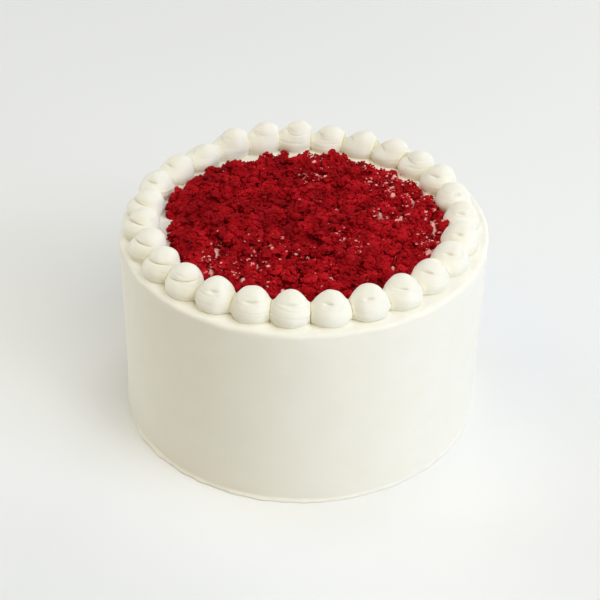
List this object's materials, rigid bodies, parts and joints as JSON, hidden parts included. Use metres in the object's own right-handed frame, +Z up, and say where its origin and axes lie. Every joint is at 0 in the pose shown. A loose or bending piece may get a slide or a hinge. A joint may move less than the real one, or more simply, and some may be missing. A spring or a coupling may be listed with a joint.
{
  "type": "red velvet cheesecake",
  "caption": "Tall round uncut cake under smooth cream frosting, with a ring of piped frosting dots around a bed of deep red cake crumbs.",
  "frame": {"origin": "centre of the flat underside that the cake rests on", "axes": "+Z up through the middle of the cake, -Y towards the side that the picture shows in front, +X to its right"},
  "size_m": [0.2157, 0.2145, 0.134],
  "materials": {
    "frosting": "smooth cream frosting, satin, scraped flat",
    "piped_frosting": "smooth piped cream frosting, satin",
    "red_crumbs": "matt porous cake crumb"
  },
  "bodies": {
    "root": {"frosted_cake": "frosting", "crumb_bed": "red_crumbs", "piped_dot_01": "piped_frosting", "piped_dot_02": "piped_frosting", "piped_dot_03": "piped_frosting", "piped_dot_04": "piped_frosting", "piped_dot_05": "piped_frosting", "piped_dot_06": "piped_frosting", "piped_dot_07": "piped_frosting", "piped_dot_08": "piped_frosting", "piped_dot_09": "piped_frosting", "piped_dot_10": "piped_frosting", "piped_dot_11": "piped_frosting", "piped_dot_12": "piped_frosting", "piped_dot_13": "piped_frosting", "piped_dot_14": "piped_frosting", "piped_dot_15": "piped_frosting", "piped_dot_16": "piped_frosting", "piped_dot_17": "piped_frosting", "piped_dot_18": "piped_frosting", "piped_dot_19": "piped_frosting", "piped_dot_20": "piped_frosting", "piped_dot_21": "piped_frosting", "piped_dot_22": "piped_frosting", "piped_dot_23": "piped_frosting", "piped_dot_24": "piped_frosting", "piped_dot_25": "piped_frosting", "piped_dot_26": "piped_frosting", "piped_dot_27": "piped_frosting"}
  },
  "joints": []
}
